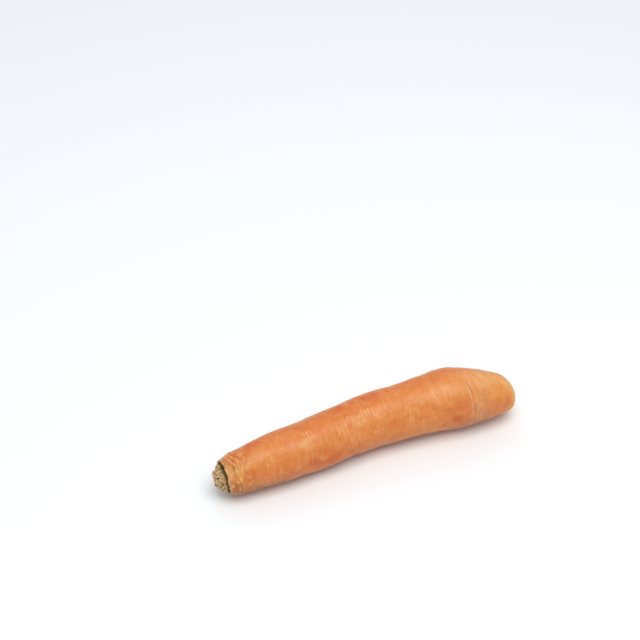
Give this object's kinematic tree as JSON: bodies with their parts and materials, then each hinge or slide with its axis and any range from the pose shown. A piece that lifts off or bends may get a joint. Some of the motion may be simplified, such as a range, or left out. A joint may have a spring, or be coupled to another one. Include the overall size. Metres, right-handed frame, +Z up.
{
  "type": "carrot",
  "caption": "Fresh whole carrot lying on its side: a stout orange root with a blunt tip, faint rings and creases, and the cut leaf-stalk bases in its crown.",
  "frame": {"origin": "middle of the carrot's outline seen from above, on the surface that it lies on", "axes": "+X along the root from the crown to the tip, +Z up, -Y towards the side that the picture shows"},
  "size_m": [0.173, 0.0352, 0.034],
  "materials": {
    "carrot_skin": "moist, half-matt carrot skin, orange with paler rings, scars and bloom",
    "dry_leaf_stalk": "dry, fibrous, straw-brown cut stalk"
  },
  "bodies": {
    "root": {"carrot_root": "carrot_skin", "leaf_stalk_stubs": "dry_leaf_stalk"}
  },
  "joints": []
}
